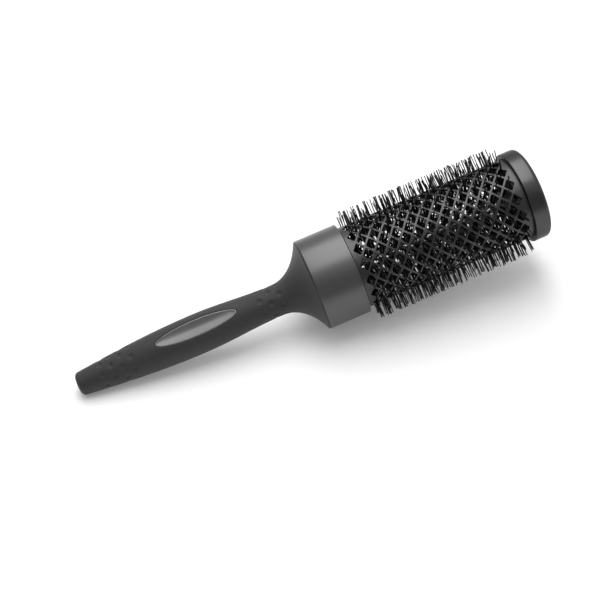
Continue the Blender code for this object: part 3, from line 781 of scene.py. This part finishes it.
def stem_twist(x):
    """Angle of the clamped bristle plane at stations x: half a turn for every two columns of holes."""
    return np.pi * (FIRST_ROW - x) / HALF_TURN - np.pi / HOLES_AROUND / 2


def tubes(paths, radii, sides):
    """Points and quads of closed tubes along many paths at once.

    Paths are an array of (tube, ring, xyz) and radii of (tube, ring). At each ring a circle of the radius
    stands across the path's tangent, and a first and last ring of no radius close the ends. The circle
    starts square to a direction that no path runs along.
    """
    tangent = np.gradient(paths[:, 1:-1], axis=1)
    tangent = np.concatenate([tangent[:, :1], tangent, tangent[:, -1:]], axis=1)
    tangent /= np.linalg.norm(tangent, axis=-1, keepdims=True)
    side = np.cross(tangent, CLEAR_OF_PATHS)
    side /= np.linalg.norm(side, axis=-1, keepdims=True)
    over = np.cross(tangent, side)
    turn = 2 * np.pi * np.arange(sides) / sides
    circle = side[:, :, None] * np.cos(turn)[:, None] + over[:, :, None] * np.sin(turn)[:, None]
    points = paths[:, :, None] + radii[:, :, None, None] * circle
    strip = grid_quads(paths.shape[1], sides)
    number = np.arange(len(paths))[:, None, None] * paths.shape[1] * sides
    return points.reshape(-1, 3), (strip + number).reshape(-1, 4)


def stem_wire(side):
    """One wire of the stem: a tube along a helix, half a turn away from the other wire."""
    start, end, _, _ = measure("stem_wire_a")
    x = np.arange(start, end, WIRE_STEP)
    path = around(x, WIRE_HELIX, stem_twist(x) + np.pi / 2 + side * np.pi)
    path = np.concatenate([path[:1], path, path[-1:]])
    radii = np.full(len(path), WIRE_RADIUS)
    radii[[0, -1]] = 0.0
    return tubes(path[None], radii[None], WIRE_SIDES)


# %% [markdown]
# The wire is drawn steel with a zinc coat, rough enough not to glitter. Its grey is painted shade: far
# darker than bare zinc, so that the wires inside the barrel stay dark.

# %% Galvanised wire
# Painted shade: the wire's grey is set well below bare zinc, to darken it inside the barrel.
wire_steel_painted_shade = new_finish("galvanised_wire_painted_shade", Metallic=1.0)
drift_and_grain(
    wire_steel_painted_shade,
    dark="#4e4f50",
    light="#5a5b5c",
    drift=4 * MM,
    grain=0.3 * MM,
    relief=0.01 * MM,
    smooth=0.45,
    rough=0.6,
)
for wire_side, wire_name in enumerate(("stem_wire_a", "stem_wire_b")):
    add_piece("twisted_" + wire_name, *stem_wire(wire_side), wire_steel_painted_shade, "stem_steel", wire_name)

# %% [markdown]
# ## Bristles
# A tuft of nylon strands stands out through every hole. Hair particles would be quick, but the exported
# model needs real meshes, so each strand is a thin tube with a blunt round tip, drawn for all strands of a
# row at once. A strand starts where the twisted stem points at its hole, passes the hole at a random place
# and leans a little, so the tufts fan out and no two are alike. The random numbers have a fixed seed.

# %% Strand paths
STRANDS_LEAST = 2
STRANDS_MOST = 4
STRAND_RADIUS = 0.27 * MM
STRAND_SIDES = 5
STEM_REACH = 2.4 * MM
ROOT_SPREAD = 0.9 * MM
TIP_RADIUS = measure("bristle_row_07")[3]
TIP_SPREAD = 0.35 * MM
TIP_ROUND = 0.5 * STRAND_RADIUS
TIP_END = 0.6 * STRAND_RADIUS
TIP_NARROWING = 0.6
HOLE_USE = 0.45
LEAN_SPREAD = math.radians(3.5)
SEED = 11
chance = np.random.default_rng(SEED)


def strand_paths(columns):
    """Paths of all strands through some columns of holes, as (strand, ring, xyz).

    A strand leaves the stem where the twist points at its hole, at a station within its own half turn. From
    there it runs straight to its place in the hole, and outside it leans by its own small angle.
    """
    column = np.repeat(columns, HOLES_AROUND)
    hole = np.tile(np.arange(HOLES_AROUND), len(columns))
    count = chance.integers(STRANDS_LEAST, STRANDS_MOST + 1, len(column))
    column, hole = np.repeat(column, count), np.repeat(hole, count)
    total = len(column)
    middle_x = FIRST_COLUMN + COLUMN_PITCH * column
    middle_angle = 2 * np.pi / HOLES_AROUND * (hole + column % 2 / 2)
    twist_share = (stem_twist(FIRST_ROW) - middle_angle) / np.pi % 1
    root_x = FIRST_ROW + HALF_TURN * (column // 2 + twist_share) + chance.normal(0, ROOT_SPREAD, total)
    one, two = chance.uniform(-1, 1, (2, total)) * HOLE_USE
    along = COLUMN_PITCH * (one + two) / 2
    sideways = CELL_WIDTH * (one - two) / 2
    lean = np.tan(chance.normal(0, LEAN_SPREAD, (2, total)))
    tip = TIP_RADIUS - np.abs(chance.normal(0, TIP_SPREAD, total))
    root, bore = np.full(total, STEM_REACH), np.full(total, BARREL_BORE)
    radius = np.stack([root, bore, (BARREL_RADIUS + tip) / 2, tip], axis=-1)
    above = np.maximum(radius - BARREL_RADIUS, 0)
    share = np.clip(radius / BARREL_RADIUS, 0, 1)
    hole_x = middle_x + along
    x = root_x[:, None] * (1 - share) + hole_x[:, None] * share + lean[0][:, None] * above
    arc = sideways[:, None] * share + lean[1][:, None] * above
    return around(x, radius, middle_angle[:, None] + arc / radius)


def bristle_row(columns):
    """Points and quads of one row of tufts: a tube for each strand, drawn in to a blunt tip."""
    path = strand_paths(columns)
    root, end = path[:, :1], path[:, -1:]
    outward = (end - path[:, -2:-1]) / np.linalg.norm(end - path[:, -2:-1], axis=-1, keepdims=True)
    full_width = np.ones(path.shape[1])
    path = np.concatenate([root, path, end + TIP_ROUND * outward, end + TIP_END * outward], axis=1)
    widths = np.concatenate([[0.0], full_width, [TIP_NARROWING, 0.0]])
    radii = np.tile(widths, (len(path), 1)) * STRAND_RADIUS
    return tubes(path, radii, STRAND_SIDES)


# %% [markdown]
# Heat-proof nylon is drawn through a die, so a strand is glossy and nearly black, and only its edges catch
# the light.

# %% Drawn nylon
nylon = new_finish("drawn_black_nylon", IOR=1.53, Specular_IOR_Level=0.3)
drift_and_grain(
    nylon,
    dark="#161616",
    light="#1f1f1f",
    drift=3 * MM,
    grain=0.4 * MM,
    relief=0.01 * MM,
    smooth=0.26,
    rough=0.36,
)
ROW_COUNT = math.ceil(HOLE_COLUMNS / 2)
for row in range(ROW_COUNT):
    row_columns = np.arange(2 * row, min(2 * row + 2, HOLE_COLUMNS))
    row_name = f"bristle_row_{row + 1:02d}"
    add_piece(f"tufts_{row + 1:02d}", *bristle_row(row_columns), nylon, "bristle_nylon", row_name)

# %% [markdown]
# ## Hidden mouldings
# The handle's core and the hub in the free end stay as the CAD model has them. Only glimpses of them show
# through the holes, and a black moulded nylon suits both. The clip on the stem is steel, like the wires.

# %% Core, hub and clip
core_nylon = new_finish("moulded_black_nylon", IOR=1.53, Specular_IOR_Level=0.4)
drift_and_grain(
    core_nylon,
    dark="#1c1c1c",
    light="#232323",
    drift=10 * MM,
    grain=0.5 * MM,
    relief=0.02 * MM,
    smooth=0.5,
    rough=0.6,
)
# The clip takes the wires' finish, so its grey is the same painted shade.
hidden_finishes = {"handle_core": core_nylon, "front_hub": core_nylon, "stem_clip": wire_steel_painted_shade}
for node_name, finish in hidden_finishes.items():
    node_mesh = frame["nodes"][node_name].data
    node_mesh.materials.clear()
    node_mesh.materials.append(finish)
    print(node_name, "now has", finish.name)

# %% [markdown]
# ## Floor and light
# The photograph has a white table, a soft lamp overhead and a little behind, pale surroundings on that side
# and a dim room in front. The lamp's mirror image is the bright band on the upper third of the collar, and
# the ends of that band give the lamp's place and width. The dim room leaves the lacquer dark below it.
# The floor is white paper that also glows a little where the camera, a mirror or glass looks at it, so that
# it reads as white and still takes the shadow.

# %% Floor
FLOOR_HALF = 12.0
FLOOR_PAPER = 0.92
FLOOR_GLOW = 0.13
corner_signs = ((-1, -1), (1, -1), (1, 1), (-1, 1))
floor_corners = [(FLOOR_HALF * x, FLOOR_HALF * y, 0) for x, y in corner_signs]
floor_mesh = bpy.data.meshes.new("floor")
floor_mesh.from_pydata(floor_corners, [], [(0, 1, 2, 3)])
floor_paper = new_finish("white_paper_floor", Roughness=0.9, Specular_IOR_Level=0.1)
floor_tree = floor_paper.node_tree
floor_shader = floor_tree.nodes["Principled BSDF"]
floor_shader.inputs["Base Color"].default_value = (FLOOR_PAPER, FLOOR_PAPER, FLOOR_PAPER, 1.0)
floor_shader.inputs["Emission Color"].default_value = linear("#ffffff")


def seen_directly(tree):
    """Output that is 1 for camera, glossy and transmission rays, and 0 for light that falls on things."""
    path = add_node(tree, "LightPath", {}).outputs
    rays = {0: path["Is Camera Ray"], 1: path["Is Glossy Ray"]}
    rays = {0: add_node(tree, "Math", rays, operation="MAXIMUM").outputs[0], 1: path["Is Transmission Ray"]}
    return add_node(tree, "Math", rays, operation="MAXIMUM").outputs[0]


glow = add_node(floor_tree, "Math", {0: seen_directly(floor_tree), 1: FLOOR_GLOW}, operation="MULTIPLY")
floor_tree.links.new(glow.outputs[0], floor_shader.inputs["Emission Strength"])
floor_mesh.materials.append(floor_paper)
floor = bpy.data.objects.new("floor", floor_mesh)
bpy.context.scene.collection.objects.link(floor)
print("floor:", 2 * FLOOR_HALF, "m square")

# %% Softbox and room
SOFTBOX_ANGLE = math.radians(-40)
SOFTBOX_LEAN = math.radians(12)
SOFTBOX_LEVEL = 3.3
SOFTBOX_LENGTH = 0.6
SOFTBOX_WIDTH = 1.1
SOFTBOX_DISTANCE = 0.9
DOME_ANGLE = math.radians(-50)
DOME_LEAN = math.radians(28)
DOME_LEVEL = 0.78
DOME_HALF = math.radians(65)
DOME_EDGE = math.radians(12)
ROOM_LEVEL = 0.25


def light_way(angle, lean):
    """Direction from the brush towards a light at an angle round it, leant towards the end cap."""
    outwards = around(0.0, 1.0, angle) - BUTT
    return math.cos(lean) * outwards + math.sin(lean) * ALONG


def add_softbox(name, way):
    """A lamp over the middle of the brush, in a direction and facing it, with its length along the brush.

    A lamp of power P and area A has a face of brightness P / (pi A), so the level gives the power.
    """
    data = bpy.data.lights.new(name, "AREA")
    data.shape = "RECTANGLE"
    data.size = SOFTBOX_LENGTH
    data.size_y = SOFTBOX_WIDTH
    data.energy = SOFTBOX_LEVEL * math.pi * SOFTBOX_LENGTH * SOFTBOX_WIDTH
    lamp = bpy.data.objects.new(name, data)
    bpy.context.scene.collection.objects.link(lamp)
    right = ALONG - (ALONG @ way) * way
    right = right / np.linalg.norm(right)
    turn = Matrix(np.column_stack([right, np.cross(way, right), way]).tolist()).to_4x4()
    middle = (BUTT + END_CENTRE) / 2
    lamp.matrix_world = Matrix.Translation((middle + SOFTBOX_DISTANCE * way).tolist()) @ turn
    return lamp


def light_room(name, way):
    """A dim world with a soft bright dome round one direction.

    The cosine between a look and that direction climbs from the room's level to the dome's.
    """
    world = bpy.data.worlds.new(name)
    world.use_nodes = True
    tree = world.node_tree
    look = add_node(tree, "TexCoord", {}).outputs["Generated"]
    facing = add_node(tree, "VectorMath", {0: look, 1: way.tolist()}, operation="DOT_PRODUCT")
    cosine = facing.outputs["Value"]
    climb = {"Value": cosine, "To Min": ROOM_LEVEL, "To Max": DOME_LEVEL}
    climb["From Min"] = math.cos(DOME_HALF + DOME_EDGE)
    climb["From Max"] = math.cos(DOME_HALF - DOME_EDGE)
    level = add_node(tree, "MapRange", climb, interpolation_type="SMOOTHSTEP").outputs["Result"]
    tree.links.new(level, tree.nodes["Background"].inputs["Strength"])
    tree.nodes["Background"].inputs["Color"].default_value = linear("#ffffff")
    return world


softbox = add_softbox("softbox", light_way(SOFTBOX_ANGLE, SOFTBOX_LEAN))
bpy.context.scene.world = light_room("room_with_dome", light_way(DOME_ANGLE, DOME_LEAN))
print("softbox at", [round(value, 3) for value in softbox.matrix_world.translation])

# %% [markdown]
# ## Camera
# The camera looks down on the brush from its near side. Three things were measured in the photograph: how
# the brush lies in the picture, how much the near end is enlarged, and which line of holes faces the lens.
# They give a distance of about 0.6 m, a 72 mm lens on a 36 mm frame, and the turns below.

# %% Camera from the brush's axes
CAMERA_STATION = 91.9 * MM
CAMERA_DISTANCE = 607 * MM
CAMERA_AROUND = math.radians(20)
CAMERA_YAW = math.radians(2.6)
CAMERA_PITCH = math.radians(-0.422)
CAMERA_ROLL = math.radians(23.107)
LENS = 72.0
SENSOR = 36.0


def camera_axes():
    """Picture-right, picture-up and back axes of the camera.

    Before the roll, picture-right runs along the brush, turned by the yaw, and picture-down runs across it
    on the near side, turned by the pitch. The roll then lays the brush across the picture.
    """
    to_camera = around(0.0, 1.0, CAMERA_AROUND) - BUTT
    near = around(0.0, 1.0, CAMERA_AROUND + np.pi / 2) - BUTT
    right = math.cos(CAMERA_YAW) * ALONG + math.sin(CAMERA_YAW) * to_camera
    depth = math.sin(CAMERA_YAW) * ALONG - math.cos(CAMERA_YAW) * to_camera
    down = math.cos(CAMERA_PITCH) * near + math.sin(CAMERA_PITCH) * depth
    depth = math.cos(CAMERA_PITCH) * depth - math.sin(CAMERA_PITCH) * near
    picture_right = math.cos(CAMERA_ROLL) * right + math.sin(CAMERA_ROLL) * down
    picture_down = math.cos(CAMERA_ROLL) * down - math.sin(CAMERA_ROLL) * right
    return picture_right, -picture_down, -depth


camera_data = bpy.data.cameras.new("camera")
camera_data.lens = LENS
camera_data.sensor_width = SENSOR
camera = bpy.data.objects.new("camera", camera_data)
camera_place = around(CAMERA_STATION, CAMERA_DISTANCE, CAMERA_AROUND)
camera_turn = Matrix(np.column_stack(camera_axes()).tolist()).to_4x4()
camera.matrix_world = Matrix.Translation(camera_place.tolist()) @ camera_turn
bpy.context.scene.collection.objects.link(camera)
bpy.context.scene.camera = camera
bpy.context.scene.view_settings.view_transform = "Standard"
print("camera at", camera_place.round(4))
